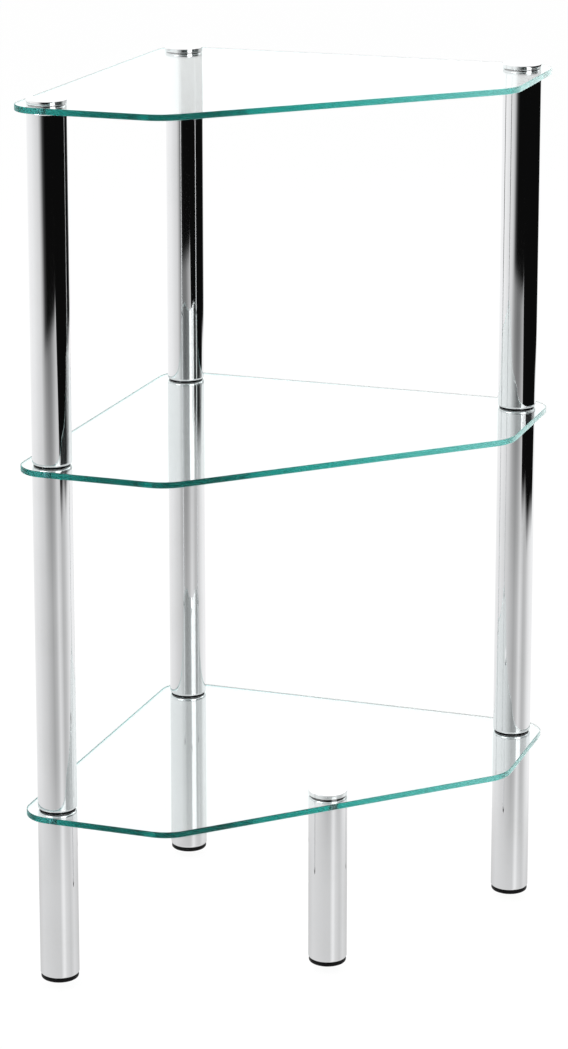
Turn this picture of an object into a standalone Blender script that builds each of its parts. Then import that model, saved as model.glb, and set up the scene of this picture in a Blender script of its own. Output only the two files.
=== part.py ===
"""Corner glass shelf: three glass tiers clamped between chrome tubes, on four levelling feet.

Metres, +Z up. The origin is on the floor under the middle of the glass square.
The two back edges lie along -X and +Y; the cut front corner faces +X and -Y.
"""

import math

import bmesh
import bpy

for old in list(bpy.data.objects):
    bpy.data.objects.remove(old, do_unlink=True)

# Glass shelves
GLASS_SIDE = 0.350  # each back edge, measured to the square corners
GLASS_RETURN = 0.131  # short side edge, from the square corner to the front cut
GLASS_THICKNESS = 0.005
GLASS_CORNER_RADIUS = 0.025  # back, left and right corners
GLASS_FRONT_RADIUS = 0.035  # the two blunt corners beside the front cut
GLASS_ARRIS = 0.0005  # ground edge, top and bottom
POLE_INSET = 0.025  # from a glass edge to the axis of a pole

# Heights
LEG_HEIGHT = 0.142  # floor to the underside of the bottom shelf
TIER_PITCH = 0.2895  # from one shelf to the next

# Chrome tubes and caps
TUBE_DIAMETER = 0.032
TUBE_WALL = 0.0012
TUBE_LIP = 0.0006  # turned-in edge at each tube end
CAP_SKIRT = 0.001  # wall of the cap round its washer
CAP_EDGE = 0.0007  # rounding of the cap's rim
CAP_TOP = 0.0011  # metal over the screw head

# Threaded pieces
STUD_DIAMETER = 0.008
STUD_ENGAGEMENT = 0.014  # thread length inside each plug
STUD_TIP = 0.0008  # chamfer of a thread's end
SCREW_HEAD_DIAMETER = 0.015
SCREW_HEAD_HEIGHT = 0.0012

# Black plastic end plugs and soft washers
FLANGE_SETBACK = 0.0005  # flange edge inside the tube's outside
FLANGE_THICKNESS = 0.0005
PLUG_DEPTH = 0.018
PLUG_LEAD = 0.001  # chamfer that leads the plug into the tube
WASHER_THICKNESS = 0.0008

# Levelling feet
PAD_SETBACK = 0.0005  # pad edge inside the tube's outside
PAD_EDGE = 0.0012  # rounding of the pad's lower edge
PAD_SOLE = 0.0006  # plastic under the stud's head
PAD_LIP = 0.0006  # plastic that hooks over the stud's head
FOOT_HEAD_DIAMETER = 0.016
FOOT_HEAD_HEIGHT = 0.0006
FOOT_STUD_LENGTH = 0.026  # thread above the pad

# Fits
SEAT_GAP = 0.0003  # between pieces that bear on each other
FIT_GAP = 0.0003  # round a thread, and round a plug in its tube
HOLE_CLEARANCE = 0.0015  # round a thread in the glass

# Facets of the turned pieces
TUBE_FACETS = 24
PLUG_FACETS = 16
STUD_FACETS = 16
CORNER_STEPS = 7
RIM_STEPS = 2

# Derived sizes
tube_radius = TUBE_DIAMETER / 2
tube_bore = tube_radius - TUBE_WALL
stud_radius = STUD_DIAMETER / 2
thread_bore = (stud_radius + FIT_GAP) / math.cos(math.pi / PLUG_FACETS)
hole_radius = stud_radius + HOLE_CLEARANCE
plug_radius = tube_bore * math.cos(math.pi / TUBE_FACETS) - FIT_GAP
flange_radius = tube_radius - FLANGE_SETBACK
ring_height = FLANGE_THICKNESS + 2 * SEAT_GAP
cap_radius = tube_radius
cap_recess_radius = cap_radius - CAP_SKIRT
cap_recess_depth = WASHER_THICKNESS + SEAT_GAP
cap_hollow_radius = (SCREW_HEAD_DIAMETER / 2 + FIT_GAP) / math.cos(math.pi / TUBE_FACETS)
cap_hollow_depth = cap_recess_depth + SCREW_HEAD_HEIGHT + SEAT_GAP
cap_height = cap_hollow_depth + CAP_TOP
washer_radius = cap_recess_radius * math.cos(math.pi / TUBE_FACETS) - FIT_GAP
pad_radius = tube_radius - PAD_SETBACK
pad_pocket_radius = (FOOT_HEAD_DIAMETER / 2 + FIT_GAP) / math.cos(math.pi / TUBE_FACETS)
pad_neck_radius = (stud_radius + FIT_GAP) / math.cos(math.pi / TUBE_FACETS)
pad_pocket_height = FOOT_HEAD_HEIGHT + 2 * SEAT_GAP
pad_height = PAD_SOLE + pad_pocket_height + PAD_LIP

# Heights of the shelves' undersides and the lengths of the tubes between them
shelf_bases = {
    "bottom": LEG_HEIGHT,
    "middle": LEG_HEIGHT + TIER_PITCH,
    "top": LEG_HEIGHT + 2 * TIER_PITCH,
}
leg_base = pad_height + SEAT_GAP + FLANGE_THICKNESS + SEAT_GAP
leg_length = LEG_HEIGHT - ring_height - leg_base
tier_tube_length = TIER_PITCH - GLASS_THICKNESS - 2 * ring_height

# Pole axes: three near the square corners, one behind the middle of the front cut
half_side = GLASS_SIDE / 2
pole = half_side - POLE_INSET
front_cut = GLASS_RETURN / 2  # the front cut's middle, from the centre, along X and along -Y
front = front_cut - POLE_INSET / math.sqrt(2)
pole_axes = {"left": (-pole, -pole), "back": (-pole, pole), "right": (pole, pole)}
leg_axes = dict(pole_axes, front=(front, -front))


def new_collection(name):
    collection = bpy.data.collections.new(name)
    bpy.context.scene.collection.children.link(collection)
    return collection


def new_material(name, colour, roughness, metallic=0.0, transmission=0.0):
    material = bpy.data.materials.new(name)
    material.use_nodes = True
    shader = material.node_tree.nodes["Principled BSDF"]
    shader.inputs["Base Color"].default_value = (*colour, 1.0)
    shader.inputs["Roughness"].default_value = roughness
    shader.inputs["Metallic"].default_value = metallic
    shader.inputs["Transmission Weight"].default_value = transmission
    material.diffuse_color = (*colour, 1.0)
    return material


shelf_unit = new_collection("corner_glass_shelf")
glass = new_material("clear_glass", (0.86, 0.96, 0.94), 0.02, transmission=1.0)
chrome = new_material("chrome", (0.80, 0.80, 0.81), 0.05, metallic=1.0)
plastic = new_material("black_plastic", (0.012, 0.012, 0.013), 0.45)
rubber = new_material("soft_washer", (0.03, 0.03, 0.03), 0.7)
steel = new_material("zinc_steel", (0.62, 0.62, 0.60), 0.35, metallic=1.0)


def add_part(name, mesh, location, upside_down=False, parent=None):
    part = bpy.data.objects.new(name, mesh)
    part.location = location
    part.rotation_euler = (math.pi if upside_down else 0.0, 0.0, 0.0)
    shelf_unit.objects.link(part)
    if parent:
        part.parent = parent
        part.location = (0.0, 0.0, location[2])
    return part


def turned_mesh(name, profile, facets, material, closed=False):
    """Turn a profile of (radius, height) points, running down its outer side, about Z."""
    outline = bpy.data.meshes.new(name + "_profile")
    count = len(profile)
    edges = [(i, i + 1) for i in range(count - 1)]
    if closed:
        edges.append((count - 1, 0))
    outline.from_pydata([(radius, 0.0, height) for radius, height in profile], edges, [])
    blank = bpy.data.objects.new(name + "_profile", outline)
    shelf_unit.objects.link(blank)
    screw = blank.modifiers.new("turn", "SCREW")
    screw.axis = "Z"
    screw.steps = facets
    screw.render_steps = facets
    screw.use_merge_vertices = True
    screw.merge_threshold = 0.00001
    mesh = mesh_of(blank, name)
    mesh.materials.append(material)
    mesh.shade_smooth()
    mesh.set_sharp_from_angle(angle=math.radians(30))
    return mesh


def mesh_of(source, name):
    """The evaluated mesh of an object, welded closed; the object itself is removed."""
    evaluated = source.evaluated_get(bpy.context.evaluated_depsgraph_get())
    mesh = bpy.data.meshes.new_from_object(evaluated)
    mesh.name = name
    bpy.data.objects.remove(source, do_unlink=True)
    work = bmesh.new()
    work.from_mesh(mesh)
    bmesh.ops.remove_doubles(work, verts=work.verts, dist=0.00001)
    work.to_mesh(mesh)
    work.free()
    return mesh


def upper_rim(radius, height, rounding):
    """Points over the rounded top edge of a disc, from its top face to its side."""
    angles = [math.pi / 2 * step / RIM_STEPS for step in range(RIM_STEPS + 1)]
    inner = radius - rounding
    return [(inner + rounding * math.sin(a), height - rounding + rounding * math.cos(a)) for a in angles]


def lower_rim(radius, rounding):
    """The same round the lower edge of a disc that stands at z = 0, from its side to its sole."""
    return [(r, rounding - z) for r, z in reversed(upper_rim(radius, rounding, rounding))]


def tube_mesh(name, length):
    lip = min(TUBE_LIP, TUBE_WALL / 2)
    profile = [
        (tube_bore, length),
        (tube_radius - lip, length),
        (tube_radius, length - lip),
        (tube_radius, lip),
        (tube_radius - lip, 0.0),
        (tube_bore, 0.0),
    ]
    return turned_mesh(name, profile, TUBE_FACETS, chrome, closed=True)


def plug_mesh():
    """A plug hanging down from its flange; the outer face of the flange is at z = 0."""
    end = -FLANGE_THICKNESS - SEAT_GAP - PLUG_DEPTH
    profile = [
        (thread_bore, 0.0),
        (flange_radius, 0.0),
        (flange_radius, -FLANGE_THICKNESS),
        (plug_radius, -FLANGE_THICKNESS),
        (plug_radius, end + PLUG_LEAD),
        (plug_radius - PLUG_LEAD, end),
        (thread_bore, end),
    ]
    return turned_mesh("end_plug", profile, PLUG_FACETS, plastic, closed=True)


def stud_mesh():
    """A connecting stud, centred in the thickness of the glass."""
    half = GLASS_THICKNESS / 2 + ring_height + STUD_ENGAGEMENT
    profile = [
        (0.0, half),
        (stud_radius - STUD_TIP, half),
        (stud_radius, half - STUD_TIP),
        (stud_radius, STUD_TIP - half),
        (stud_radius - STUD_TIP, -half),
        (0.0, -half),
    ]
    return turned_mesh("stud", profile, STUD_FACETS, steel)


def cap_mesh():
    """A shallow chrome cup, mouth down, over its washer and screw head; its rim is at z = 0."""
    edge = min(CAP_EDGE, CAP_TOP)
    profile = [(0.0, cap_height)]
    profile += upper_rim(cap_radius, cap_height, edge)
    profile += [
        (cap_radius, 0.0),
        (cap_recess_radius, 0.0),
        (cap_recess_radius, cap_recess_depth),
        (cap_hollow_radius, cap_recess_depth),
        (cap_hollow_radius, cap_hollow_depth),
        (0.0, cap_hollow_depth),
    ]
    return turned_mesh("cap", profile, TUBE_FACETS, chrome)


def cap_screw_mesh():
    """Head up inside the cap, thread down; the head's underside is at z = 0."""
    tip = -(2 * SEAT_GAP + WASHER_THICKNESS + GLASS_THICKNESS + ring_height + STUD_ENGAGEMENT)
    head = SCREW_HEAD_DIAMETER / 2
    profile = [
        (0.0, SCREW_HEAD_HEIGHT),
        (head, SCREW_HEAD_HEIGHT),
        (head, 0.0),
        (stud_radius, 0.0),
        (stud_radius, tip + STUD_TIP),
        (stud_radius - STUD_TIP, tip),
        (0.0, tip),
    ]
    return turned_mesh("cap_screw", profile, STUD_FACETS, steel)


def washer_mesh():
    profile = [
        (hole_radius, WASHER_THICKNESS),
        (washer_radius, WASHER_THICKNESS),
        (washer_radius, 0.0),
        (hole_radius, 0.0),
    ]
    return turned_mesh("cap_washer", profile, TUBE_FACETS, rubber, closed=True)


def pad_mesh():
    """The pad, its sole at z = 0, with a pocket that hooks over the stud's head."""
    edge = min(PAD_EDGE, pad_height / 2)
    profile = [
        (0.0, PAD_SOLE),
        (pad_pocket_radius, PAD_SOLE),
        (pad_pocket_radius, PAD_SOLE + pad_pocket_height),
        (pad_neck_radius, PAD_SOLE + pad_pocket_height),
        (pad_neck_radius, pad_height),
        (pad_radius, pad_height),
    ]
    profile += lower_rim(pad_radius, edge)
    profile.append((0.0, 0.0))
    return turned_mesh("foot_pad", profile, TUBE_FACETS, plastic)


def foot_stud_mesh():
    """Head down in the pad's pocket, thread up; the head's underside is at z = 0."""
    head = FOOT_HEAD_DIAMETER / 2
    top = FOOT_HEAD_HEIGHT + SEAT_GAP + PAD_LIP + FOOT_STUD_LENGTH
    profile = [
        (0.0, top),
        (stud_radius - STUD_TIP, top),
        (stud_radius, top - STUD_TIP),
        (stud_radius, FOOT_HEAD_HEIGHT),
        (head, FOOT_HEAD_HEIGHT),
        (head, 0.0),
        (0.0, 0.0),
    ]
    return turned_mesh("foot_stud", profile, STUD_FACETS, steel)


def rounded_outline(corners):
    """Points round a polygon whose (x, y, radius) corners are rounded off by arcs."""
    points = []
    count = len(corners)
    for i, (x, y, radius) in enumerate(corners):
        before = corners[i - 1]
        after = corners[(i + 1) % count]
        angle_in = math.atan2(before[1] - y, before[0] - x)
        angle_out = math.atan2(after[1] - y, after[0] - x)
        opening = (angle_out - angle_in) % (2 * math.pi)
        if opening > math.pi:
            opening = opening - 2 * math.pi
        middle = angle_in + opening / 2
        reach = radius / math.sin(abs(opening) / 2)
        centre = (x + reach * math.cos(middle), y + reach * math.sin(middle))
        sweep = (math.pi - abs(opening)) * (1 if opening < 0 else -1)
        start = middle + math.pi - sweep / 2
        for step in range(CORNER_STEPS + 1):
            angle = start + sweep * step / CORNER_STEPS
            points.append((centre[0] + radius * math.cos(angle), centre[1] + radius * math.sin(angle)))
    return points


def circle_outline(centre, radius):
    turn = 2 * math.pi / STUD_FACETS
    x, y = centre
    return [(x + radius * math.cos(i * turn), y + radius * math.sin(i * turn)) for i in range(STUD_FACETS)]


def add_loop(curve, points):
    loop = curve.splines.new("POLY")
    loop.points.add(len(points) - 1)
    for point, (x, y) in zip(loop.points, points):
        point.co = (x, y, 0.0, 1.0)
    loop.use_cyclic_u = True


def shelf_mesh(name, hole_axes):
    """One pane, centred in its thickness, with a drilled hole on every given axis."""
    cut = half_side - GLASS_RETURN
    corners = [
        (-half_side, half_side, GLASS_CORNER_RADIUS),
        (-half_side, -half_side, GLASS_CORNER_RADIUS),
        (-cut, -half_side, GLASS_FRONT_RADIUS),
        (half_side, cut, GLASS_FRONT_RADIUS),
        (half_side, half_side, GLASS_CORNER_RADIUS),
    ]
    curve = bpy.data.curves.new(name, "CURVE")
    curve.dimensions = "2D"
    curve.fill_mode = "BOTH"
    curve.extrude = GLASS_THICKNESS / 2 - GLASS_ARRIS
    curve.bevel_depth = GLASS_ARRIS
    curve.bevel_resolution = 0
    curve.offset = -GLASS_ARRIS
    add_loop(curve, rounded_outline(corners))
    for axis in hole_axes:
        add_loop(curve, circle_outline(axis, hole_radius))
    blank = bpy.data.objects.new(name + "_outline", curve)
    shelf_unit.objects.link(blank)
    mesh = mesh_of(blank, name)
    mesh.materials.clear()
    mesh.materials.append(glass)
    mesh.shade_smooth()
    mesh.set_sharp_from_angle(angle=math.radians(20))
    return mesh


def build_shelves():
    for level, base in shelf_bases.items():
        axes = leg_axes if level == "bottom" else pole_axes
        name = "shelf_" + level
        add_part(name, shelf_mesh(name, axes.values()), (0.0, 0.0, base + GLASS_THICKNESS / 2))


def add_tube(name, mesh, plug, axis, base, length):
    """A tube with a plug in each end; the flanges stand off the tube by the seat gap."""
    add_part(name, mesh, (*axis, base))
    standoff = SEAT_GAP + FLANGE_THICKNESS
    add_part(name + "_plug_top", plug, (*axis, base + length + standoff))
    add_part(name + "_plug_bottom", plug, (*axis, base - standoff), upside_down=True)


def build_tubes():
    plug = plug_mesh()
    leg = tube_mesh("leg", leg_length)
    tier_tube = tube_mesh("tier_tube", tier_tube_length)
    lower_base = shelf_bases["bottom"] + GLASS_THICKNESS + ring_height
    upper_base = shelf_bases["middle"] + GLASS_THICKNESS + ring_height
    for side, axis in leg_axes.items():
        add_tube("leg_" + side, leg, plug, axis, leg_base, leg_length)
    for side, axis in pole_axes.items():
        add_tube("lower_tube_" + side, tier_tube, plug, axis, lower_base, tier_tube_length)
        add_tube("upper_tube_" + side, tier_tube, plug, axis, upper_base, tier_tube_length)


def build_studs():
    stud = stud_mesh()
    for level in ("bottom", "middle"):
        middle = shelf_bases[level] + GLASS_THICKNESS / 2
        for side, axis in pole_axes.items():
            add_part("stud_" + level + "_" + side, stud, (*axis, middle))


def build_caps():
    cap = cap_mesh()
    screw = cap_screw_mesh()
    washer = washer_mesh()
    for side, axis in leg_axes.items():
        level = "bottom" if side == "front" else "top"
        glass_top = shelf_bases[level] + GLASS_THICKNESS
        rim = glass_top + SEAT_GAP
        add_part("cap_washer_" + side, washer, (*axis, rim))
        add_part("cap_screw_" + side, screw, (*axis, rim + cap_recess_depth))
        add_part("cap_" + side, cap, (*axis, rim))


def build_feet():
    pad = pad_mesh()
    stud = foot_stud_mesh()
    for side, axis in leg_axes.items():
        foot_axis = bpy.data.objects.new("foot_axis_" + side, None)
        foot_axis.location = (*axis, 0.0)
        shelf_unit.objects.link(foot_axis)
        add_part("foot_stud_" + side, stud, (*axis, PAD_SOLE + SEAT_GAP), parent=foot_axis)
        add_part("foot_pad_" + side, pad, (*axis, 0.0), parent=foot_axis)


build_shelves()
build_tubes()
build_studs()
build_caps()
build_feet()
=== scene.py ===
import math

import bmesh
import bpy
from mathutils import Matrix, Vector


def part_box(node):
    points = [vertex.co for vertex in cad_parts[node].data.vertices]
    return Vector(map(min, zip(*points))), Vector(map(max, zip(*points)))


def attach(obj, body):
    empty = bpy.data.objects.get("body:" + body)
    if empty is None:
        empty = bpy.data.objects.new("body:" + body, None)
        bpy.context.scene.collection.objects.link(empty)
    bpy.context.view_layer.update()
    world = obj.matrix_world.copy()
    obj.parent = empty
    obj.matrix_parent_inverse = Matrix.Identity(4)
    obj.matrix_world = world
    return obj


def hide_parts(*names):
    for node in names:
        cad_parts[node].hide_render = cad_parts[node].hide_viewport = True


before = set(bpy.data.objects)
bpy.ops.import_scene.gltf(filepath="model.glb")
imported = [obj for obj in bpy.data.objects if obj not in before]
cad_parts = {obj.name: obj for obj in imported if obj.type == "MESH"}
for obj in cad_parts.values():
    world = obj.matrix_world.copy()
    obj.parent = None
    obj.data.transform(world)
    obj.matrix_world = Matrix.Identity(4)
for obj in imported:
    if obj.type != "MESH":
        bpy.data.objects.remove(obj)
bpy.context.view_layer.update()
scene = bpy.context.scene
sides = ("left", "back", "right", "front")
poles = sides[:3]
print("frame loaded,", len(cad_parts), "nodes")


# small helpers for node trees, meshes and pieces

def addNode(tree, kind, inputs=None, **settings):
    node = tree.nodes.new(kind)
    for key, value in settings.items():
        setattr(node, key, value)
    for key, value in (inputs or {}).items():
        if isinstance(value, bpy.types.NodeSocket):
            tree.links.new(value, node.inputs[key])
        else:
            node.inputs[key].default_value = value
    return node


def mathNode(tree, operation, first, second=0.0, clamp=False):
    return addNode(tree, "ShaderNodeMath", {0: first, 1: second},
                   operation=operation, use_clamp=clamp).outputs[0]


def newTree(name, inputs):
    tree = bpy.data.node_groups.new(name, "GeometryNodeTree")
    ids = {}
    for label, kind in inputs.items():
        ids[label] = tree.interface.new_socket(
            label, in_out="INPUT", socket_type="NodeSocket" + kind).identifier
    tree.interface.new_socket("Geometry", in_out="OUTPUT", socket_type="NodeSocketGeometry")
    return tree, ids, tree.nodes.new("NodeGroupInput").outputs


def closeTree(tree, geometry, material):
    whole = addNode(tree, "GeometryNodeRealizeInstances", {"Geometry": geometry})
    dressed = addNode(tree, "GeometryNodeSetMaterial",
                      {"Geometry": whole.outputs[0], "Material": material})
    addNode(tree, "NodeGroupOutput", {"Geometry": dressed.outputs[0]})


def meshFromTree(built, source, values):
    tree, ids = built
    blank = bpy.data.objects.new("blank", source)
    scene.collection.objects.link(blank)
    modifier = blank.modifiers.new("build", "NODES")
    modifier.node_group = tree
    for label, value in values.items():
        modifier[ids[label]] = value
    evaluated = blank.evaluated_get(bpy.context.evaluated_depsgraph_get())
    mesh = bpy.data.meshes.new_from_object(evaluated)
    blank.modifiers.remove(modifier)
    bpy.data.objects.remove(blank, do_unlink=True)
    bpy.data.meshes.remove(source)
    return mesh


def joined(tree, *geometries):
    node = tree.nodes.new("GeometryNodeJoinGeometry")
    for geometry in geometries:
        tree.links.new(geometry, node.inputs[0])
    return node.outputs[0]


def tidyMesh(mesh, place=(0, 0, 0), upsideDown=False, sharpAngle=35, mergeDistance=1e-6):
    work = bmesh.new()
    work.from_mesh(mesh)
    bmesh.ops.remove_doubles(work, verts=work.verts, dist=mergeDistance)
    for vert in work.verts:
        if upsideDown:
            vert.co.y, vert.co.z = -vert.co.y, -vert.co.z
        vert.co.x += place[0]
        vert.co.y += place[1]
        vert.co.z += place[2]
    bmesh.ops.recalc_face_normals(work, faces=work.faces)
    work.to_mesh(mesh)
    work.free()
    mesh.shade_smooth()
    mesh.set_sharp_from_angle(angle=math.radians(sharpAngle))
    return mesh


def addPiece(node, mesh, body):
    # named after the node that it stands for: leg_left becomes legLeft
    words = node.split("_")
    name = words[0] + "".join(word.capitalize() for word in words[1:])
    mesh.name = name
    piece = bpy.data.objects.new(name, mesh)
    scene.collection.objects.link(piece)
    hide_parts(node)
    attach(piece, body)
    return piece


def axisOf(node):
    low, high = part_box(node)
    return (low.x + high.x) / 2, (low.y + high.y) / 2


# shader groups that several finishes share

def newShaderGroup(name, inputs, outputs):
    group = bpy.data.node_groups.new(name, "ShaderNodeTree")
    for label, value in inputs.items():
        group.interface.new_socket(
            label, in_out="INPUT", socket_type="NodeSocketFloat").default_value = value
    for label in outputs:
        group.interface.new_socket(label, in_out="OUTPUT", socket_type="NodeSocketFloat")
    return group, group.nodes.new("NodeGroupInput").outputs


marksSettings = {"fineRatio": 11.0, "patchSpan": (0.46, 0.72)}


def makeHandlingMarks():
    # wiped-over patches and finger haze, as a mask and as a roughness
    group, given = newShaderGroup(
        "handlingMarks", {"Patch Scale": 30.0, "Clean": 0.04, "Hazed": 0.09},
        ("Mask", "Roughness"))
    where = addNode(group, "ShaderNodeTexCoord").outputs["Object"]
    patches = addNode(group, "ShaderNodeTexNoise",
                      {"Vector": where, "Scale": given["Patch Scale"], "Detail": 3.0})
    fineScale = mathNode(group, "MULTIPLY", given["Patch Scale"], marksSettings["fineRatio"])
    streaks = addNode(group, "ShaderNodeTexNoise",
                      {"Vector": where, "Scale": fineScale, "Detail": 2.0})
    low, high = marksSettings["patchSpan"]
    patch = addNode(group, "ShaderNodeMapRange",
                    {"Value": patches.outputs[0], "From Min": low, "From Max": high})
    mask = mathNode(group, "MULTIPLY", patch.outputs[0], streaks.outputs[0], clamp=True)
    rough = addNode(group, "ShaderNodeMapRange",
                    {"Value": mask, "To Min": given["Clean"], "To Max": given["Hazed"]})
    addNode(group, "NodeGroupOutput", {"Mask": mask, "Roughness": rough.outputs[0]})
    return group


def makeFineGrain():
    # moulded or plated grain, as a height
    group, given = newShaderGroup("fineGrain", {"Grain Scale": 2000.0, "Pits": 0.3}, ("Height",))
    where = addNode(group, "ShaderNodeTexCoord").outputs["Object"]
    grain = addNode(group, "ShaderNodeTexNoise",
                    {"Vector": where, "Scale": given["Grain Scale"], "Detail": 3.0})
    pits = addNode(group, "ShaderNodeTexVoronoi",
                   {"Vector": where, "Scale": given["Grain Scale"]})
    depth = mathNode(group, "MULTIPLY", pits.outputs["Distance"], given["Pits"])
    addNode(group, "NodeGroupOutput", {"Height": mathNode(group, "ADD", grain.outputs[0], depth)})
    return group


def makeDrawLines():
    # faint lines along Z, left by drawing and polishing the metal
    group, given = newShaderGroup("drawLines", {"Across": 220.0, "Along": 3.0}, ("Height",))
    where = addNode(group, "ShaderNodeTexCoord").outputs["Object"]
    stretch = addNode(group, "ShaderNodeCombineXYZ",
                      {"X": given["Across"], "Y": given["Across"], "Z": given["Along"]})
    drawn = addNode(group, "ShaderNodeVectorMath", {0: where, 1: stretch.outputs[0]},
                    operation="MULTIPLY")
    lines = addNode(group, "ShaderNodeTexNoise",
                    {"Vector": drawn.outputs[0], "Scale": 1.0, "Detail": 2.0})
    addNode(group, "NodeGroupOutput", {"Height": lines.outputs[0]})
    return group


handlingMarks = makeHandlingMarks()
fineGrain = makeFineGrain()
drawLines = makeDrawLines()


# finishes

def newFinish(name):
    material = bpy.data.materials.new(name)
    material.use_nodes = True
    tree = material.node_tree
    return material, tree, tree.nodes["Principled BSDF"]


def placeGroup(tree, group, **values):
    node = addNode(tree, "ShaderNodeGroup", node_tree=group)
    for label, value in values.items():
        node.inputs[label].default_value = value
    return node.outputs


def blendColours(tree, mask, first, second):
    mix = addNode(tree, "ShaderNodeMix", {0: mask}, data_type="RGBA")
    mix.inputs[6].default_value = (*first, 1.0)
    mix.inputs[7].default_value = (*second, 1.0)
    return mix.outputs[2]


def addBump(tree, shader, height, distance):
    bump = addNode(tree, "ShaderNodeBump", {"Height": height, "Distance": distance, "Strength": 1.0})
    tree.links.new(bump.outputs[0], shader.inputs["Normal"])


def metalFinish(name, settings, lines=None, grain=None):
    material, tree, shader = newFinish(name)
    shader.inputs["Metallic"].default_value = 1.0
    marks = placeGroup(tree, handlingMarks, **settings["marks"])
    tree.links.new(blendColours(tree, marks["Mask"], settings["bright"], settings["dull"]),
                   shader.inputs["Base Color"])
    tree.links.new(marks["Roughness"], shader.inputs["Roughness"])
    if lines:
        drawn = placeGroup(tree, drawLines, **lines)
        addBump(tree, shader, drawn["Height"], settings["relief"])
    if grain:
        grainy = placeGroup(tree, fineGrain, **grain)
        addBump(tree, shader, grainy["Height"], settings["relief"])
    return material


def mouldedFinish(name, settings):
    material, tree, shader = newFinish(name)
    shader.inputs["Specular IOR Level"].default_value = settings["gloss"]
    marks = placeGroup(tree, handlingMarks, **settings["marks"])
    grainy = placeGroup(tree, fineGrain, **settings["grain"])
    tree.links.new(blendColours(tree, marks["Mask"], settings["dark"], settings["worn"]),
                   shader.inputs["Base Color"])
    tree.links.new(marks["Roughness"], shader.inputs["Roughness"])
    addBump(tree, shader, grainy["Height"], settings["relief"])
    return material


glassFinish = {
    "refraction": 1.52,
    "marks": {"Patch Scale": 9.0, "Clean": 0.0, "Hazed": 0.012},
    "gloss": 0.1,  # how much of the mirror image stays, seen square on
    "absorbed": (0.0, 0.643, 0.598),  # what a long way through the pane leaves: sea green
    "density": 11.2,  # per metre
    # the edges' own sea green, with painted shade: darkest at low X, on the left of the picture
    "face": (1.0, 1.0, 1.0), "deepEdge": (0.3, 1.0, 1.0),
    "edgeRoughness": 0.20,  # square on: the edge is polished less finely than the faces
    "grazingRoughness": (0.40, 1.0),
    "facing": (0.3, 0.7),  # from square on to grazing
    "span": (-0.13, 0.10),  # along X: from the smoother edge, painted darker as shade, to the paler one
}


def clearGlass():
    material, tree, shader = newFinish("clearGlass")
    shader.inputs["IOR"].default_value = glassFinish["refraction"]
    shader.inputs["Transmission Weight"].default_value = 1.0
    shader.inputs["Specular Tint"].default_value = (*[glassFinish["gloss"]] * 3, 1.0)
    marks = placeGroup(tree, handlingMarks, **glassFinish["marks"])
    band = addNode(tree, "ShaderNodeAttribute", attribute_name="edgeBand").outputs["Fac"]
    where = addNode(tree, "ShaderNodeTexCoord").outputs["Object"]
    across = addNode(tree, "ShaderNodeSeparateXYZ", {0: where}).outputs["X"]
    start, stop = glassFinish["span"]
    along = addNode(tree, "ShaderNodeMapRange",
                    {"Value": across, "From Min": start, "From Max": stop}).outputs[0]
    # painted shade: the edge tint is strongest at low X and fades to the faces' white towards high X
    edgeShadeShare = mathNode(tree, "MULTIPLY", band, mathNode(tree, "SUBTRACT", 1.0, along))
    tree.links.new(blendColours(tree, edgeShadeShare, glassFinish["face"], glassFinish["deepEdge"]),
                   shader.inputs["Base Color"])
    least, most = glassFinish["grazingRoughness"]
    grazing = addNode(tree, "ShaderNodeMapRange", {"Value": along, "To Min": least, "To Max": most})
    facing = addNode(tree, "ShaderNodeLayerWeight", {"Blend": 0.5}).outputs["Facing"]
    squareOn, aslant = glassFinish["facing"]
    spread = addNode(tree, "ShaderNodeMapRange",
                     {"Value": facing, "From Min": squareOn, "From Max": aslant,
                      "To Min": glassFinish["edgeRoughness"], "To Max": grazing.outputs[0]})
    ground = mathNode(tree, "MULTIPLY", band, spread.outputs[0])
    rough = mathNode(tree, "ADD", marks["Roughness"], ground)
    tree.links.new(rough, shader.inputs["Roughness"])
    tint = addNode(tree, "ShaderNodeVolumeAbsorption",
                   {"Color": (*glassFinish["absorbed"], 1.0), "Density": glassFinish["density"]})
    tree.links.new(tint.outputs[0], tree.nodes["Material Output"].inputs["Volume"])
    return material


tubeChrome = metalFinish(
    "tubeChrome",
    {"marks": {"Patch Scale": 26.0, "Clean": 0.035, "Hazed": 0.07},
     "bright": (0.83, 0.835, 0.845), "dull": (0.79, 0.795, 0.80), "relief": 0.000003},
    lines={"Across": 220.0, "Along": 3.0})
capChrome = metalFinish(
    "capChrome",
    {"marks": {"Patch Scale": 60.0, "Clean": 0.04, "Hazed": 0.10},
     "bright": (0.94, 0.94, 0.945), "dull": (0.88, 0.88, 0.885), "relief": 0.000002},
    grain={"Grain Scale": 500.0, "Pits": 0.0})
zincPlate = metalFinish(
    "zincPlate",
    {"marks": {"Patch Scale": 180.0, "Clean": 0.26, "Hazed": 0.5},
     "bright": (0.66, 0.67, 0.68), "dull": (0.50, 0.49, 0.45), "relief": 0.00001},
    grain={"Grain Scale": 3000.0, "Pits": 0.5})
blackMoulding = mouldedFinish(
    "blackMoulding",
    {"marks": {"Patch Scale": 90.0, "Clean": 0.38, "Hazed": 0.6},
     "grain": {"Grain Scale": 1800.0, "Pits": 0.4},
     "dark": (0.003, 0.003, 0.0033), "worn": (0.007, 0.007, 0.0075), "gloss": 0.12, "relief": 0.00003})
softWasher = mouldedFinish(
    "softWasher",
    {"marks": {"Patch Scale": 70.0, "Clean": 0.55, "Hazed": 0.8},
     "grain": {"Grain Scale": 2600.0, "Pits": 0.8},
     "dark": (0.02, 0.021, 0.022), "worn": (0.04, 0.04, 0.04), "gloss": 0.3, "relief": 0.00004})
paneGlass = clearGlass()
print("finishes made")


# turned pieces: a profile of (radius, height) points swept round the axis

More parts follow.
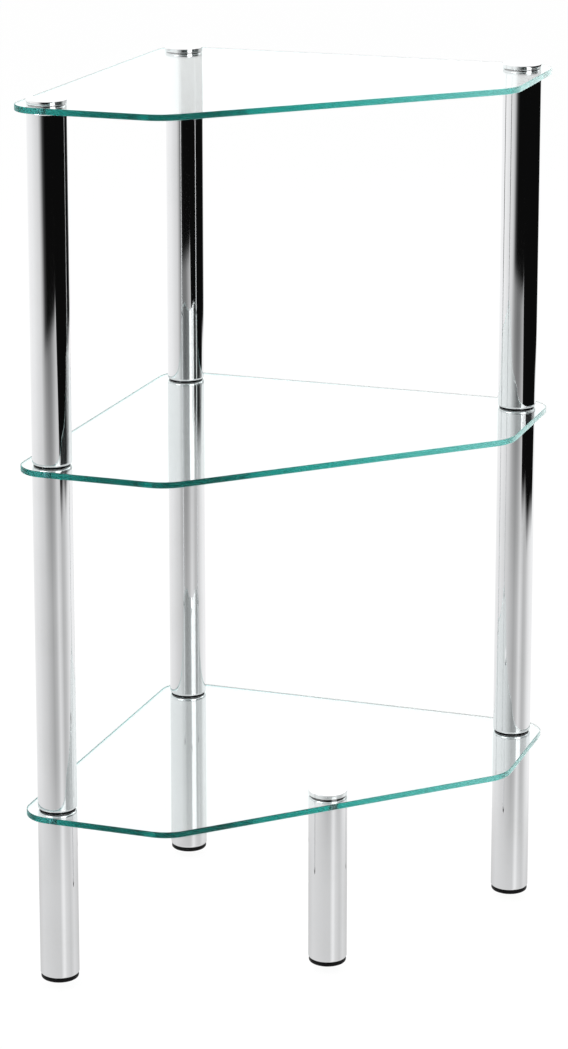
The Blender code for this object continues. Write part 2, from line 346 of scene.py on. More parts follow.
def makeTurnedTree():
    tree, ids, given = newTree("turnedPiece", {
        "Profile": "Geometry", "Axis Offset": "Float", "Segments": "Int", "Finish": "Material"})
    profile = addNode(tree, "GeometryNodeMeshToCurve", {"Mesh": given["Profile"]})
    ring = addNode(tree, "GeometryNodeCurvePrimitiveCircle",
                   {"Resolution": given["Segments"], "Radius": given["Axis Offset"]})
    swept = addNode(tree, "GeometryNodeCurveToMesh",
                    {"Curve": ring.outputs[0], "Profile Curve": profile.outputs[0]})
    closeTree(tree, swept.outputs[0], given["Finish"])
    return tree, ids


turnedTree = makeTurnedTree()
axisOffset = 0.01  # radius of the sweep's own path


def turned(profile, finish, segments, closed=True):
    count = len(profile)
    edges = [(i, i + 1) for i in range(count - 1)] + ([(count - 1, 0)] if closed else [])
    outline = bpy.data.meshes.new("profile")
    outline.from_pydata([(r - axisOffset, -h, 0.0) for r, h in profile], edges, [])
    return meshFromTree(turnedTree, outline, {
        "Axis Offset": axisOffset, "Segments": segments, "Finish": finish})


cornerSettings = {"steps": 5, "support": 0.3}  # support: how far off, in radii, the guard points are


def wrapped(angle):
    return (angle + math.pi) % (2 * math.pi) - math.pi


def stepFrom(point, angle, distance):
    return point[0] + distance * math.cos(angle), point[1] + distance * math.sin(angle)


def roundedCorner(corner, before, after, radius):
    # points of the arc that takes the sharp corner off, with a guard point on each side
    steps, support = cornerSettings["steps"], cornerSettings["support"] * radius
    towards = [math.atan2(p[1] - corner[1], p[0] - corner[0]) for p in (before, after)]
    opening = wrapped(towards[1] - towards[0])
    reach = radius / math.tan(abs(opening) / 2)
    centre = stepFrom(corner, towards[0] + opening / 2, radius / math.sin(abs(opening) / 2))
    start, end = [stepFrom(corner, angle, reach) for angle in towards]
    first, last = [math.atan2(p[1] - centre[1], p[0] - centre[0]) for p in (start, end)]
    swing = wrapped(last - first)
    arc = [stepFrom(centre, first + swing * i / steps, radius) for i in range(steps + 1)]
    return [stepFrom(start, towards[0], support)] + arc + [stepFrom(end, towards[1], support)]


def softened(corners, closed=True):
    # corners are (radius, height, rounding); a rounding of 0 stays sharp
    points = []
    count = len(corners)
    for i, (r, h, rounding) in enumerate(corners):
        if rounding and (closed or 0 < i < count - 1):
            points += roundedCorner((r, h), corners[i - 1], corners[(i + 1) % count], rounding)
        else:
            points.append((r, h))
    return points


# chrome tubes: each end is rolled inwards, and reaches nearer to the plug's ring than the clearance
tubeSettings = {"wall": 0.0012, "roll": 0.0020, "rollSteps": 10, "reach": 0.0007, "footReach": 0.00005,
                "guard": 1.3, "segments": 128}


def rolledEnd(radius):
    # section of a tube's lower end, up its inside and down to the outside, with the end at height 0
    wall, roll, steps = tubeSettings["wall"], tubeSettings["roll"], tubeSettings["rollSteps"]
    centre = radius - roll
    guard = roll * tubeSettings["guard"]  # a ring just above the roll keeps the long wall's shading straight
    angles = [math.pi / 2 * i / steps for i in range(steps + 1)]
    inside = [(centre + (roll - wall) * math.cos(a), roll - (roll - wall) * math.sin(a)) for a in angles]
    outside = [(centre + roll * math.sin(a), roll - roll * math.cos(a)) for a in angles]
    return [(radius - wall, guard)] + inside + outside + [(radius, guard)]


def buildTube(node):
    low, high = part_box(node)
    length = high.z - low.z
    end = rolledEnd((high.x - low.x) / 2)
    above = tubeSettings["reach"]
    below = tubeSettings["footReach"] if node.startswith("leg") else above
    profile = [(r, h - below) for r, h in end] + [(r, length + above - h) for r, h in reversed(end)]
    mesh = turned(profile, tubeChrome, tubeSettings["segments"])
    addPiece(node, tidyMesh(mesh, (*axisOf(node), low.z)), "unit")


tubeNodes = ["leg_" + side for side in sides]
tubeNodes += [tier + "_tube_" + side for tier in ("lower", "upper") for side in poles]
for tubeNode in tubeNodes:
    buildTube(tubeNode)
print("tubes made:", len(tubeNodes))


# black end plugs: a flange that shows as a ring, and a ribbed body inside the tube
plugSettings = {"ringRadius": 0.0148, "ring": 0.00034, "footRingRadius": 0.0154, "footRing": 0.001,
                "closeUp": 0.00026, "ringEdge": 0.0001, "depth": 0.018,
                "bodyRadius": 0.0136, "bore": 0.0043, "lead": 0.001, "leadEdge": 0.0004, "segments": 96,
                "ribs": 12, "ribSides": 8, "ribRadius": 0.0005, "ribRing": 0.0141, "ribStart": 0.0036}


def makeRibTree():
    tree, ids, given = newTree("plugRibs", {
        "Body": "Geometry", "Ribs": "Int", "Ring Radius": "Float", "Rib Radius": "Float",
        "Rib Sides": "Int", "Rib Length": "Float", "Drop": "Float", "Finish": "Material"})
    ring = addNode(tree, "GeometryNodeMeshCircle",
                   {"Vertices": given["Ribs"], "Radius": given["Ring Radius"]})
    rib = addNode(tree, "GeometryNodeMeshCylinder",
                  {"Vertices": given["Rib Sides"], "Radius": given["Rib Radius"],
                   "Depth": given["Rib Length"]})
    spread = addNode(tree, "GeometryNodeInstanceOnPoints",
                     {"Points": ring.outputs[0], "Instance": rib.outputs[0]})
    drop = addNode(tree, "ShaderNodeCombineXYZ", {"Z": given["Drop"]})
    lowered = addNode(tree, "GeometryNodeTransform",
                      {"Geometry": spread.outputs[0], "Translation": drop.outputs[0]})
    closeTree(tree, joined(tree, given["Body"], lowered.outputs[0]), given["Finish"])
    return tree, ids


ribTree = makeRibTree()


def buildPlug(node):
    low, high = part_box(node)
    s = plugSettings
    atTop = node.endswith("_top")
    onFoot = node.startswith("leg") and not atTop
    ring, thickness = (s["footRingRadius"], s["footRing"]) if onFoot else (s["ringRadius"], s["ring"])
    end = -s["depth"]
    profile = softened([
        (s["bore"], s["closeUp"], 0), (ring, s["closeUp"], s["ringEdge"]),
        (ring, s["closeUp"] - thickness, s["ringEdge"]),
        (s["bodyRadius"], s["closeUp"] - thickness, 0),
        (s["bodyRadius"], end + s["lead"], s["leadEdge"]),
        (s["bodyRadius"] - s["lead"], end, 0), (s["bore"], end, 0)])
    ribLength = s["depth"] - s["ribStart"] - 2 * s["lead"]
    mesh = meshFromTree(ribTree, turned(profile, blackMoulding, s["segments"]), {
        "Ribs": s["ribs"], "Ring Radius": s["ribRing"], "Rib Radius": s["ribRadius"],
        "Rib Sides": s["ribSides"], "Rib Length": ribLength,
        "Drop": -s["ribStart"] - ribLength / 2, "Finish": blackMoulding})
    place = (*axisOf(node), high.z if atTop else low.z)
    addPiece(node, tidyMesh(mesh, place, upsideDown=not atTop), "unit")


plugNodes = [tube + end for tube in tubeNodes for end in ("_plug_top", "_plug_bottom")]
for plugNode in plugNodes:
    buildPlug(plugNode)
print("plugs made:", len(plugNodes))


# threads: a rod whose radius follows the helix
threadSettings = {"depth": 0.00068, "pitch": 0.00125, "tip": 0.0008, "segments": 24, "rings": 6}


def makeThreadTree():
    tree, ids, given = newTree("threadedRod", {
        "Blank": "Geometry", "Radius": "Float", "Length": "Float", "Depth": "Float", "Pitch": "Float",
        "Tip": "Float", "Segments": "Int", "Rings": "Int", "Finish": "Material"})
    rod = addNode(tree, "GeometryNodeMeshCylinder",
                  {"Vertices": given["Segments"], "Side Segments": given["Rings"],
                   "Radius": given["Radius"], "Depth": given["Length"]}, fill_type="NGON")
    where = addNode(tree, "GeometryNodeInputPosition").outputs[0]
    part = addNode(tree, "ShaderNodeSeparateXYZ", {0: where}).outputs
    angle = mathNode(tree, "ARCTAN2", part["Y"], part["X"])
    turns = mathNode(tree, "SUBTRACT", mathNode(tree, "DIVIDE", part["Z"], given["Pitch"]),
                     mathNode(tree, "DIVIDE", angle, 2 * math.pi))
    phase = mathNode(tree, "PINGPONG", turns, 0.5)
    cut = mathNode(tree, "MULTIPLY", mathNode(tree, "MULTIPLY", phase, 2.0), given["Depth"])
    threaded = mathNode(tree, "SUBTRACT", given["Radius"], cut)
    halfLength = mathNode(tree, "MULTIPLY", given["Length"], 0.5)
    fromEnd = mathNode(tree, "SUBTRACT", halfLength, mathNode(tree, "ABSOLUTE", part["Z"]))
    core = mathNode(tree, "SUBTRACT", given["Radius"], given["Tip"])
    tapered = mathNode(tree, "MINIMUM", threaded, mathNode(tree, "ADD", core, fromEnd))
    ratio = mathNode(tree, "DIVIDE", tapered, given["Radius"])
    moved = addNode(tree, "ShaderNodeCombineXYZ", {
        "X": mathNode(tree, "MULTIPLY", part["X"], ratio),
        "Y": mathNode(tree, "MULTIPLY", part["Y"], ratio), "Z": part["Z"]})
    cutRod = addNode(tree, "GeometryNodeSetPosition",
                     {"Geometry": rod.outputs["Mesh"], "Position": moved.outputs[0]})
    closeTree(tree, joined(tree, given["Blank"], cutRod.outputs[0]), given["Finish"])
    return tree, ids


threadTree = makeThreadTree()


def threadedMesh(radius, length, head=None):
    s = threadSettings
    blank = head or bpy.data.meshes.new("noHead")
    return meshFromTree(threadTree, blank, {
        "Radius": radius, "Length": length, "Depth": s["depth"], "Pitch": s["pitch"], "Tip": s["tip"],
        "Segments": s["segments"], "Rings": round(length / s["pitch"] * s["rings"]), "Finish": zincPlate})


def buildStuds():
    for level in ("bottom", "middle"):
        for side in poles:
            node = "stud_" + level + "_" + side
            low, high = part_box(node)
            mesh = threadedMesh((high.x - low.x) / 2, high.z - low.z)
            addPiece(node, tidyMesh(mesh, (*axisOf(node), (low.z + high.z) / 2)), "unit")


headSettings = {"edge": 0.0002, "capHead": 0.0012, "footHead": 0.0006, "segments": 48,
                "rodRadius": 0.004, "rodInHead": 0.5}  # the rod reaches half way into the head


def headedMesh(node, headHeight, headUp):
    # the head is a turned disc at one end of the rod; both are centred on the whole height
    low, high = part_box(node)
    half = (high.z - low.z) / 2
    rodLength = 2 * half - headHeight * headSettings["rodInHead"]
    radius, edge = (high.x - low.x) / 2, headSettings["edge"]
    profile = softened([(0, half, 0), (radius, half, edge), (radius, half - headHeight, edge),
                        (0, half - headHeight, 0)], closed=False)
    head = turned(profile, zincPlate, headSettings["segments"], closed=False)
    mesh = threadedMesh(headSettings["rodRadius"], rodLength, head)
    return tidyMesh(mesh, (*axisOf(node), (low.z + high.z) / 2), upsideDown=not headUp)


buildStuds()
for side in sides:
    capScrew, footStud = "cap_screw_" + side, "foot_stud_" + side
    addPiece(capScrew, headedMesh(capScrew, headSettings["capHead"], headUp=True), "unit")
    addPiece(footStud, headedMesh(footStud, headSettings["footHead"], headUp=False),
             "foot_" + side + "_stud")
print("studs and screws made")


# caps and the soft washers under them
capSettings = {"rim": 0.0008, "lower": 0.00028, "edge": 0.0003, "skirt": 0.0010, "recess": 0.0011,
               "hollow": 0.0079, "hollowDepth": 0.0026, "crownAt": 0.0105, "crownEdge": 0.004,
               "crownDrop": 0.00006, "rimDrop": 0.00024, "segments": 128}
washerSettings = {"bore": 0.0056, "swell": 0.00027, "edge": 0.00025, "segments": 96}


def buildCap(side):
    node = "cap_" + side
    low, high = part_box(node)
    s = capSettings
    radius, height = (high.x - low.x) / 2, high.z - low.z
    profile = softened([
        (0, height, 0), (s["crownAt"], height - s["crownDrop"], s["crownEdge"]),
        (radius, height - s["rimDrop"], s["rim"]), (radius, -s["lower"], s["edge"]),
        (radius - s["skirt"], -s["lower"], 0), (radius - s["skirt"], s["recess"], 0),
        (s["hollow"], s["recess"], 0), (s["hollow"], s["hollowDepth"], 0),
        (0, s["hollowDepth"], 0)], closed=False)
    mesh = turned(profile, capChrome, s["segments"], closed=False)
    addPiece(node, tidyMesh(mesh, (*axisOf(node), low.z)), "unit")


def buildWasher(side):
    node = "cap_washer_" + side
    low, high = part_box(node)
    s = washerSettings
    radius = (high.x - low.x) / 2
    bottom, top = -s["swell"], high.z - low.z
    profile = softened([(s["bore"], bottom, 0), (radius, bottom, s["edge"]), (radius, top, s["edge"]),
                        (s["bore"], top, 0)])
    mesh = turned(profile, softWasher, s["segments"])
    addPiece(node, tidyMesh(mesh, (*axisOf(node), low.z)), "unit")


for side in sides:
    buildCap(side)
    buildWasher(side)
print("caps and washers made")


# foot pads: the sole has two grip grooves, the pocket holds the stud's head
padSettings = {"edge": 0.0015, "topEdge": 0.0003, "sole": 0.0006, "pocket": 0.0084, "pocketTop": 0.0018,
               "neck": 0.0043, "groove": 0.0003, "grooveEdge": 0.0001, "grooveSlope": 0.0002,
               "grooves": ((0.0075, 0.0090), (0.0112, 0.0127)), "segments": 96}


def buildPad(side):
    node = "foot_pad_" + side
    low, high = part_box(node)
    s = padSettings
    radius, height = (high.x - low.x) / 2, high.z - low.z
    corners = [(0, s["sole"], 0), (s["pocket"], s["sole"], 0), (s["pocket"], s["pocketTop"], 0),
               (s["neck"], s["pocketTop"], 0), (s["neck"], height, 0), (radius, height, s["topEdge"]),
               (radius, 0, s["edge"])]
    for inner, outer in reversed(s["grooves"]):
        corners += [(outer, 0, s["grooveEdge"]), (outer - s["grooveSlope"], s["groove"], 0),
                    (inner + s["grooveSlope"], s["groove"], 0), (inner, 0, s["grooveEdge"])]
    corners.append((0, 0, 0))
    mesh = turned(softened(corners, closed=False), blackMoulding, s["segments"], closed=False)
    addPiece(node, tidyMesh(mesh, (*axisOf(node), low.z)), "foot_" + side + "_pad")


for side in sides:
    buildPad(side)
print("foot pads made")


# glass panes: a rounded outline and its drilled holes, filled, with a swept edge
paneSettings = {"cut": 0.131, "corner": 0.025, "frontCorner": 0.035, "hole": 0.0055, "arris": 0.0006,
                "arrisRound": 0.98, "cornerSteps": 14, "holeSteps": 48, "sharpAngle": 25}


def makePaneTree():
    tree, ids, given = newTree("glassPane", {
        "Outline": "Geometry", "Edge Profile": "Object", "Hole Radius": "Float", "Hole Steps": "Int",
        "Corner Steps": "Int", "Arris": "Float", "Thickness": "Float", "Finish": "Material"})
    isHole = addNode(tree, "GeometryNodeInputNamedAttribute", {"Name": "isHole"}, data_type="BOOLEAN")
    split = addNode(tree, "GeometryNodeSeparateGeometry",
                    {"Geometry": given["Outline"], "Selection": isHole.outputs[0]}, domain="POINT")
    outline = addNode(tree, "GeometryNodeMeshToCurve", {"Mesh": split.outputs["Inverted"]})
    rounding = addNode(tree, "GeometryNodeInputNamedAttribute", {"Name": "cornerRadius"},
                       data_type="FLOAT")
    rounded = addNode(tree, "GeometryNodeFilletCurve",
                      {"Curve": outline.outputs[0], "Count": given["Corner Steps"],
                       "Radius": rounding.outputs[0]}, mode="POLY")
    drill = addNode(tree, "GeometryNodeCurvePrimitiveCircle",
                    {"Resolution": given["Hole Steps"], "Radius": given["Hole Radius"]})
    turnedRound = addNode(tree, "GeometryNodeReverseCurve", {"Curve": drill.outputs[0]})
    holes = addNode(tree, "GeometryNodeInstanceOnPoints",
                    {"Points": split.outputs["Selection"], "Instance": turnedRound.outputs[0]})
    drilled = addNode(tree, "GeometryNodeRealizeInstances", {"Geometry": holes.outputs[0]})
    loops = joined(tree, rounded.outputs[0], drilled.outputs[0])
    level = addNode(tree, "GeometryNodeSetCurveNormal", {"Curve": loops}, mode="Z_UP")
    section = addNode(tree, "GeometryNodeObjectInfo", {"Object": given["Edge Profile"]})
    sectionCurve = addNode(tree, "GeometryNodeMeshToCurve", {"Mesh": section.outputs["Geometry"]})
    wall = addNode(tree, "GeometryNodeCurveToMesh",
                   {"Curve": level.outputs[0], "Profile Curve": sectionCurve.outputs[0]})
    marked = addNode(tree, "GeometryNodeStoreNamedAttribute",
                     {"Geometry": wall.outputs[0], "Name": "edgeBand", "Value": 1.0},
                     data_type="FLOAT", domain="FACE")
    outwards = addNode(tree, "GeometryNodeInputNormal")
    inset = addNode(tree, "ShaderNodeVectorMath",
                    {0: outwards.outputs[0], "Scale": mathNode(tree, "MULTIPLY", given["Arris"], -1.0)},
                    operation="SCALE")
    inner = addNode(tree, "GeometryNodeSetPosition",
                    {"Geometry": level.outputs[0], "Offset": inset.outputs[0]})
    face = addNode(tree, "GeometryNodeFillCurve", {"Curve": inner.outputs[0]}, mode="NGONS")
    faces = []
    for half in (0.5, -0.5):
        lift = addNode(tree, "ShaderNodeCombineXYZ",
                       {"Z": mathNode(tree, "MULTIPLY", given["Thickness"], half)})
        lifted = addNode(tree, "GeometryNodeTransform",
                         {"Geometry": face.outputs[0], "Translation": lift.outputs[0]})
        faces.append(lifted.outputs[0])
    closeTree(tree, joined(tree, marked.outputs[0], *faces), given["Finish"])
    return tree, ids


paneTree = makePaneTree()


def edgeProfile(thickness):
    # the pane's edge in section: a flat with a rounded arris above and below
    arris, half = paneSettings["arris"], thickness / 2
    rounding = arris * paneSettings["arrisRound"]
    points = softened([(-arris, half, 0), (0, half, rounding), (0, -half, rounding), (-arris, -half, 0)],
                      closed=False)
    points = [points[0]] + points[2:-2] + [points[-1]]  # without the outer guard points
    outline = bpy.data.meshes.new("edgeProfile")
    outline.from_pydata([(x, y, 0.0) for x, y in points],
                        [(i, i + 1) for i in range(len(points) - 1)], [])
    section = bpy.data.objects.new("edgeProfile", outline)
    scene.collection.objects.link(section)
    return section


def buildPane(level):
    node = "shelf_" + level
    low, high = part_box(node)
    s = paneSettings
    thickness = high.z - low.z
    corners = [(low.x, high.y, s["corner"]), (low.x, low.y, s["corner"]),
               (low.x + s["cut"], low.y, s["frontCorner"]), (high.x, high.y - s["cut"], s["frontCorner"]),
               (high.x, high.y, s["corner"])]
    holes = [axisOf("leg_" + side) for side in (sides if level == "bottom" else poles)]
    sheet = bpy.data.meshes.new("outline")
    count = len(corners)
    sheet.from_pydata([(x, y, 0.0) for x, y, _ in corners] + [(x, y, 0.0) for x, y in holes],
                      [(i, (i + 1) % count) for i in range(count)], [])
    isHole = sheet.attributes.new("isHole", "BOOLEAN", "POINT")
    rounding = sheet.attributes.new("cornerRadius", "FLOAT", "POINT")
    for i in range(count + len(holes)):
        isHole.data[i].value = i >= count
        rounding.data[i].value = corners[i][2] if i < count else 0.0
    section = edgeProfile(thickness)
    mesh = meshFromTree(paneTree, sheet, {
        "Edge Profile": section, "Hole Radius": s["hole"], "Hole Steps": s["holeSteps"],
        "Corner Steps": s["cornerSteps"], "Arris": s["arris"], "Thickness": thickness, "Finish": paneGlass})
    bpy.data.objects.remove(section, do_unlink=True)
    mesh = tidyMesh(mesh, (0, 0, (low.z + high.z) / 2), sharpAngle=s["sharpAngle"])
    piece = addPiece(node, mesh, "unit")
    piece.visible_shadow = False  # clear glass lets the lamps through


for level in ("bottom", "middle", "top"):
    buildPane(level)
print("panes made")


# stage: a white floor for the eye, and a studio that only reflections see
# ramps have stops of (degrees from the camera's side, value), positive on the right of the picture
# spans are heights of a direction, from -1 straight down to 1 straight up
studioSettings = {
    "cameraSide": -70.1,  # degrees, where the camera stands seen from above
    "ambient": 0.55, "darkRoom": 0.004,
    "zigzag": 4,  # light with this many reflections goes to and fro inside a pane
    # the white sweep on the floor, dimmer towards the camera
    "sweep": [(-180, 1.0), (180, 1.0), (-95, 0.87), (-45, 0.69), (-4, 0.46), (14, 0.56), (31, 0.84),
              (42, 0.74), (56, 0.55), (70, 0.60), (97, 0.89), (120, 1.0)],
    # towards its far end it is brighter on the left, and in shade in the middle
    "sweepFar": [(-180, 1.10), (180, 1.10), (-95, 0.98), (-48, 0.77), (-34, 0.46), (-23, 0.28), (-9, 0.20),
                 (5, 0.22), (18, 0.38), (32, 0.58), (45, 0.68), (56, 0.55), (70, 0.60), (97, 0.89),
                 (120, 1.0)],
    "farSpan": (-0.305, -0.228),
    # further down, as the legs mirror it, it is more even
    "sweepLow": [(-180, 0.62), (180, 0.58), (-144, 0.70), (-101, 0.80), (-60, 0.76), (-20, 0.72), (12, 0.71),
                 (27, 0.96), (35, 0.96), (46, 0.80), (74, 0.68), (101, 0.82), (140, 0.70)],
    "lowSpan": (-0.385, -0.345),
    "underPane": 0.5,  # and so much whiter in a tube that is seen through a pane
    # the unlit room beyond the sweep, on the right of the camera: the floor shows it, and far off the world
    "darkSide": [(-180, 0.0), (180, 0.0), (-39, 0.0), (-33, 0.22), (-24, 0.8), (-15, 0.97), (-10, 1.0),
                 (150, 1.0), (177, 0.0)],
    "distantSpan": (-0.12, -0.09),
    "horizonSpan": (-0.01, 0.06),
    # above the horizon: white walls, and on the right a soft box between two dark stretches
    "walls": [(-180, 1.0), (180, 1.0), (-44, 1.0), (-22, 0.5), (-6, 0.05), (95, 0.05), (112, 1.0)],
    "box": [(-180, 0.0), (180, 0.0), (22, 0.0), (26, 1.0), (50, 1.0), (55, 0.0)], "boxLight": 2.5,
    "ceilingSpan": (0.5, 0.65),
    # behind the object the wall is brighter, for the level faces
    "back": [(-180, 1.0), (180, 1.0), (-150, 1.0), (-110, 0.0), (125, 0.0), (150, 1.0)], "backWall": 1.28,
    # light into the edges of the panes: from behind there is more on the left than on the right
    "edgeLight": [(-180, 1.05), (180, 0.5), (-100, 1.05), (-90, 1.0), (88, 1.0), (95, 0.5)],
}


def ramp(tree, around, stops):
    node = addNode(tree, "ShaderNodeValToRGB", {0: around})
    elements = node.color_ramp.elements
    for i, (angle, level) in enumerate(stops):
        where = (angle + 180) / 360
        element = elements[i] if i < 2 else elements.new(where)
        element.position = where
        element.color = (level, level, level, 1.0)
    return node.outputs[0]


def aroundFrom(tree, where):
    # 0 to 1 round the object, with the camera's side at the middle
    turn = addNode(tree, "ShaderNodeMapping",
                   {"Vector": where, "Rotation": (0, 0, math.radians(-studioSettings["cameraSide"]))})
    return addNode(tree, "ShaderNodeTexGradient", {0: turn.outputs[0]},
                   gradient_type="RADIAL").outputs["Fac"]


def fade(tree, value, low, high):
    return addNode(tree, "ShaderNodeMapRange", {"Value": value, "From Min": low, "From Max": high},
                   interpolation_type="SMOOTHSTEP").outputs[0]


def blendValues(tree, share, first, second):
    return addNode(tree, "ShaderNodeMix", {0: share, 2: first, 3: second}, data_type="FLOAT").outputs[0]


def mixShaders(tree, share, first, second):
    return addNode(tree, "ShaderNodeMixShader", {0: share, 1: first, 2: second}).outputs[0]


def whiteLight(tree, kind, strength):
    return addNode(tree, "ShaderNode" + kind, {"Color": (1, 1, 1, 1), "Strength": strength}).outputs[0]


def atLeast(tree, depth, count):
    return mathNode(tree, "GREATER_THAN", depth, count - 0.5)


def fewerThan(tree, depth, count):
    return mathNode(tree, "LESS_THAN", depth, count - 0.5)


def inView(tree, path):
    # what the eye sees, plainly or through a pane
    return mathNode(tree, "MAXIMUM", path["Is Camera Ray"], path["Is Transmission Ray"])


def mirrored(tree, path):
    # a reflection or a few, and not the many of light inside a pane
    return mathNode(tree, "MULTIPLY", atLeast(tree, path["Glossy Depth"], 1),
                    fewerThan(tree, path["Glossy Depth"], studioSettings["zigzag"]))


floorSettings = {
    "half": 12.0, "colour": (0.86, 0.86, 0.86),
    "level": -0.0078,  # clear of the feet when they are screwed right out
    "paper": 0.955, "shadowColour": (0.069, 0.069, 0.069),  # together white, less in shadow
    # metres to where the lit sweep ends, and over which it goes dark there
    "sweepEnd": [(-180, 2.35), (180, 2.35), (24, 2.35), (32, 2.48), (41, 1.24), (51, 1.22), (63, 1.32),
                 (80, 1.18), (98, 1.28), (121, 1.32), (132, 2.0)],
    "sweepFade": 0.25,
}


def buildFloor():
    s = floorSettings
    half, z = s["half"], s["level"]
    sheet = bpy.data.meshes.new("floor")
    sheet.from_pydata([(-half, -half, z), (half, -half, z), (half, half, z), (-half, half, z)], [],
                      [(0, 1, 2, 3)])
    floor = bpy.data.objects.new("floor", sheet)
    scene.collection.objects.link(floor)
    material = bpy.data.materials.new("paleFloor")
    material.use_nodes = True
    tree = material.node_tree
    tree.nodes.remove(tree.nodes["Principled BSDF"])
    path = addNode(tree, "ShaderNodeLightPath").outputs
    matt = addNode(tree, "ShaderNodeBsdfDiffuse", {"Color": (*s["colour"], 1.0)}).outputs[0]
    shaded = addNode(tree, "ShaderNodeBsdfDiffuse", {"Color": (*s["shadowColour"], 1.0)}).outputs[0]
    paper = addNode(tree, "ShaderNodeAddShader",
                    {0: whiteLight(tree, "Emission", s["paper"]), 1: shaded}).outputs[0]
    plain = mixShaders(tree, inView(tree, path), matt, paper)
    # in the chrome it is clear as far as the lit sweep goes, and dark beyond
    where = addNode(tree, "ShaderNodeTexCoord").outputs["Object"]
    around = aroundFrom(tree, where)
    away = addNode(tree, "ShaderNodeVectorMath", {0: where}, operation="LENGTH").outputs["Value"]
    sweepEnd = ramp(tree, around, s["sweepEnd"])
    beyond = fade(tree, away, sweepEnd, mathNode(tree, "ADD", sweepEnd, s["sweepFade"]))
    dark = mathNode(tree, "MULTIPLY", beyond, ramp(tree, around, studioSettings["darkSide"]))
    under = addNode(tree, "ShaderNodeNewGeometry").outputs["Backfacing"]  # clear when seen from below
    above = mathNode(tree, "SUBTRACT", 1.0, under)
    dark = mathNode(tree, "MULTIPLY", dark, mathNode(tree, "MULTIPLY", above, mirrored(tree, path)))
    clear = addNode(tree, "ShaderNodeBsdfTransparent").outputs[0]
    unlit = whiteLight(tree, "Emission", studioSettings["darkRoom"])
    inChrome = mixShaders(tree, dark, clear, unlit)
    unseen = mathNode(tree, "MAXIMUM", atLeast(tree, path["Glossy Depth"], 1), under)
    both = mixShaders(tree, unseen, plain, inChrome)
    tree.links.new(both, tree.nodes["Material Output"].inputs["Surface"])
    sheet.materials.append(material)


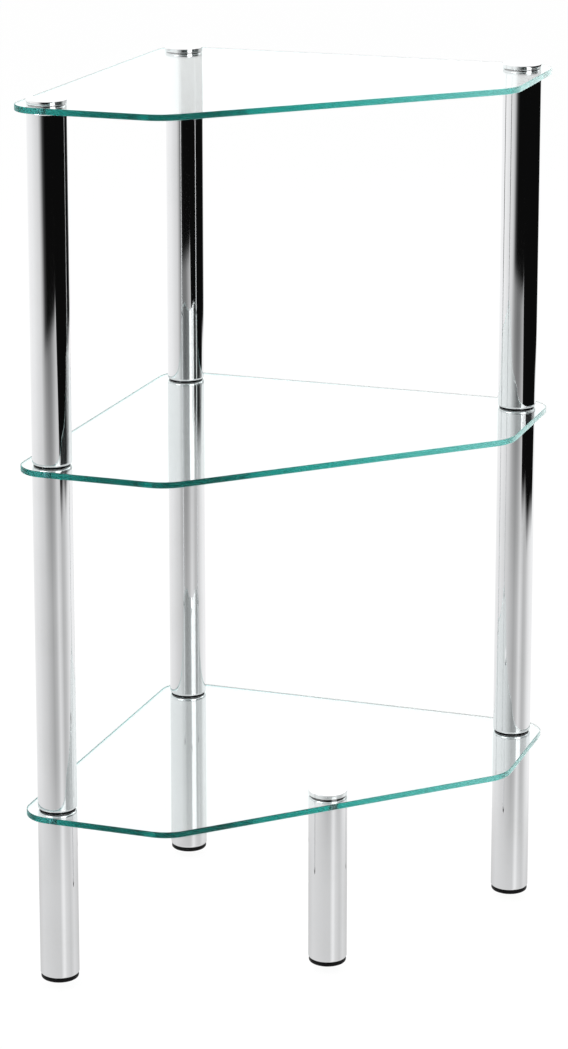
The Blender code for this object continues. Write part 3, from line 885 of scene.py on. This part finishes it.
def buildWorld():
    s = studioSettings
    world = bpy.data.worlds.new("studio")
    scene.world = world
    world.use_nodes = True
    tree = world.node_tree
    tree.nodes.clear()
    path = addNode(tree, "ShaderNodeLightPath").outputs
    where = addNode(tree, "ShaderNodeTexCoord").outputs["Generated"]
    around = aroundFrom(tree, where)
    height = addNode(tree, "ShaderNodeSeparateXYZ", {0: where}).outputs["Z"]
    # below the horizon
    low, high = s["farSpan"]
    farShare = addNode(tree, "ShaderNodeMapRange",
                       {"Value": height, "From Min": low, "From Max": high}).outputs[0]
    sweep = blendValues(tree, farShare, ramp(tree, around, s["sweep"]), ramp(tree, around, s["sweepFar"]))
    lowShare = fade(tree, height, *s["lowSpan"])
    sweep = blendValues(tree, lowShare, ramp(tree, around, s["sweepLow"]), sweep)
    throughPane = mathNode(tree, "MULTIPLY", path["Is Reflection Ray"],
                           atLeast(tree, path["Transmission Depth"], 2))
    sweep = blendValues(tree, mathNode(tree, "MULTIPLY", throughPane, s["underPane"]), sweep, 1.0)
    distant = fade(tree, height, *s["distantSpan"])
    dark = mathNode(tree, "MULTIPLY", distant, ramp(tree, around, s["darkSide"]))
    ground = mathNode(tree, "MULTIPLY", sweep, mathNode(tree, "SUBTRACT", 1.0, dark))
    # above the horizon
    box = mathNode(tree, "MULTIPLY", ramp(tree, around, s["box"]), s["boxLight"])
    lit = mathNode(tree, "MAXIMUM", ramp(tree, around, s["walls"]), box)
    room = blendValues(tree, fade(tree, height, *s["ceilingSpan"]), lit, 1.0)
    # a level face, such as a pane's or a cap's top, mirrors white all round
    back = mathNode(tree, "MULTIPLY", ramp(tree, around, s["back"]), s["backWall"])
    openSky = mathNode(tree, "MAXIMUM", back, 1.0)
    atOnce = mathNode(tree, "MULTIPLY", fewerThan(tree, path["Glossy Depth"], 2),
                      fewerThan(tree, path["Transmission Depth"], 3))
    sky = blendValues(tree, atOnce, room, openSky)
    level = blendValues(tree, fade(tree, height, *s["horizonSpan"]), ground, sky)
    studio = whiteLight(tree, "Background", mathNode(tree, "MAXIMUM", level, s["darkRoom"]))
    # outside the chrome it is white, and the panes' edges have a light of their own
    zigzag = atLeast(tree, path["Glossy Depth"], s["zigzag"])
    strength = blendValues(tree, zigzag, 1.0, ramp(tree, around, s["edgeLight"]))
    plain = mixShaders(tree, inView(tree, path), whiteLight(tree, "Background", s["ambient"]),
                       whiteLight(tree, "Background", strength))
    both = mixShaders(tree, mirrored(tree, path), plain, studio)
    addNode(tree, "ShaderNodeOutputWorld", {"Surface": both})


lampSettings = {  # place, size, power
    "keyLamp": ((-1.7, -1.9, 2.7), 1.6, 40.0),
    "fillLamp": ((2.3, -1.2, 2.2), 1.8, 22.0),
    "backLamp": ((0.3, 2.3, 2.5), 1.8, 22.0),
}


def buildLamps():
    for name, (place, size, power) in lampSettings.items():
        lamp = bpy.data.lights.new(name, "AREA")
        lamp.shape = "SQUARE"
        lamp.size = size
        lamp.energy = power
        holder = bpy.data.objects.new(name, lamp)
        scene.collection.objects.link(holder)
        holder.location = place
        aim = holder.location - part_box("shelf_middle")[0].lerp(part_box("shelf_middle")[1], 0.5)
        holder.rotation_euler = aim.to_track_quat("Z", "Y").to_euler()
        holder.visible_glossy = False


buildFloor()
buildWorld()
buildLamps()
print("stage set")


# camera: the photograph's own place and angle
cameraSettings = {"place": (0.8568, -2.4932, 1.1352), "heading": 109.109, "tilt": -12.788,
                  "focal": 3318.0 / 1049.0, "sensor": 36.0, "shiftY": -0.2}


def buildCamera():
    s = cameraSettings
    lens = bpy.data.cameras.new("camera")
    lens.sensor_width = s["sensor"]
    lens.lens = s["focal"] * s["sensor"]
    lens.shift_y = s["shiftY"]
    holder = bpy.data.objects.new("camera", lens)
    scene.collection.objects.link(holder)
    holder.location = s["place"]
    holder.rotation_euler = (math.radians(90 + s["tilt"]), 0, math.radians(s["heading"] - 90))
    scene.camera = holder


buildCamera()
scene.view_settings.view_transform = "Standard"
scene.cycles.max_bounces = 40  # light zigzags many times inside a pane before it leaves by an edge
scene.cycles.glossy_bounces = 32
scene.cycles.transmission_bounces = 40
